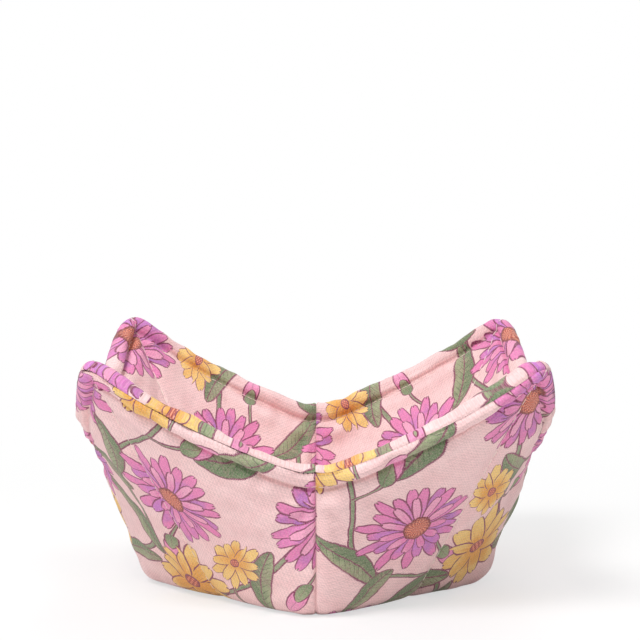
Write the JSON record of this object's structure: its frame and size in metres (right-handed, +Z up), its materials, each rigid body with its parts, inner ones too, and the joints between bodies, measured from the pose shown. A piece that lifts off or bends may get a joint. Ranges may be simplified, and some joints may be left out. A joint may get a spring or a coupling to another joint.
{
  "type": "microwave bowl cozy",
  "caption": "Padded cotton cozy shaped as a bowl with four raised corners; it holds a hot soup bowl and shields the hands and the table",
  "frame": {"origin": "middle of the base, on the surface that the cozy stands on", "axes": "+Z up; a dart seam on each side along X and Y; a corner on each diagonal"},
  "size_m": [0.179, 0.179, 0.0971],
  "materials": {
    "outer_cotton": "printed plain-weave cotton, blush ground with a floral print",
    "lining_cotton": "printed plain-weave cotton, blush ground with a floral print",
    "wadding": "unbleached cotton wadding"
  },
  "bodies": {
    "root": {"outer_cover": "outer_cotton", "outer_batting": "wadding", "inner_batting": "wadding", "lining": "lining_cotton"}
  },
  "joints": []
}
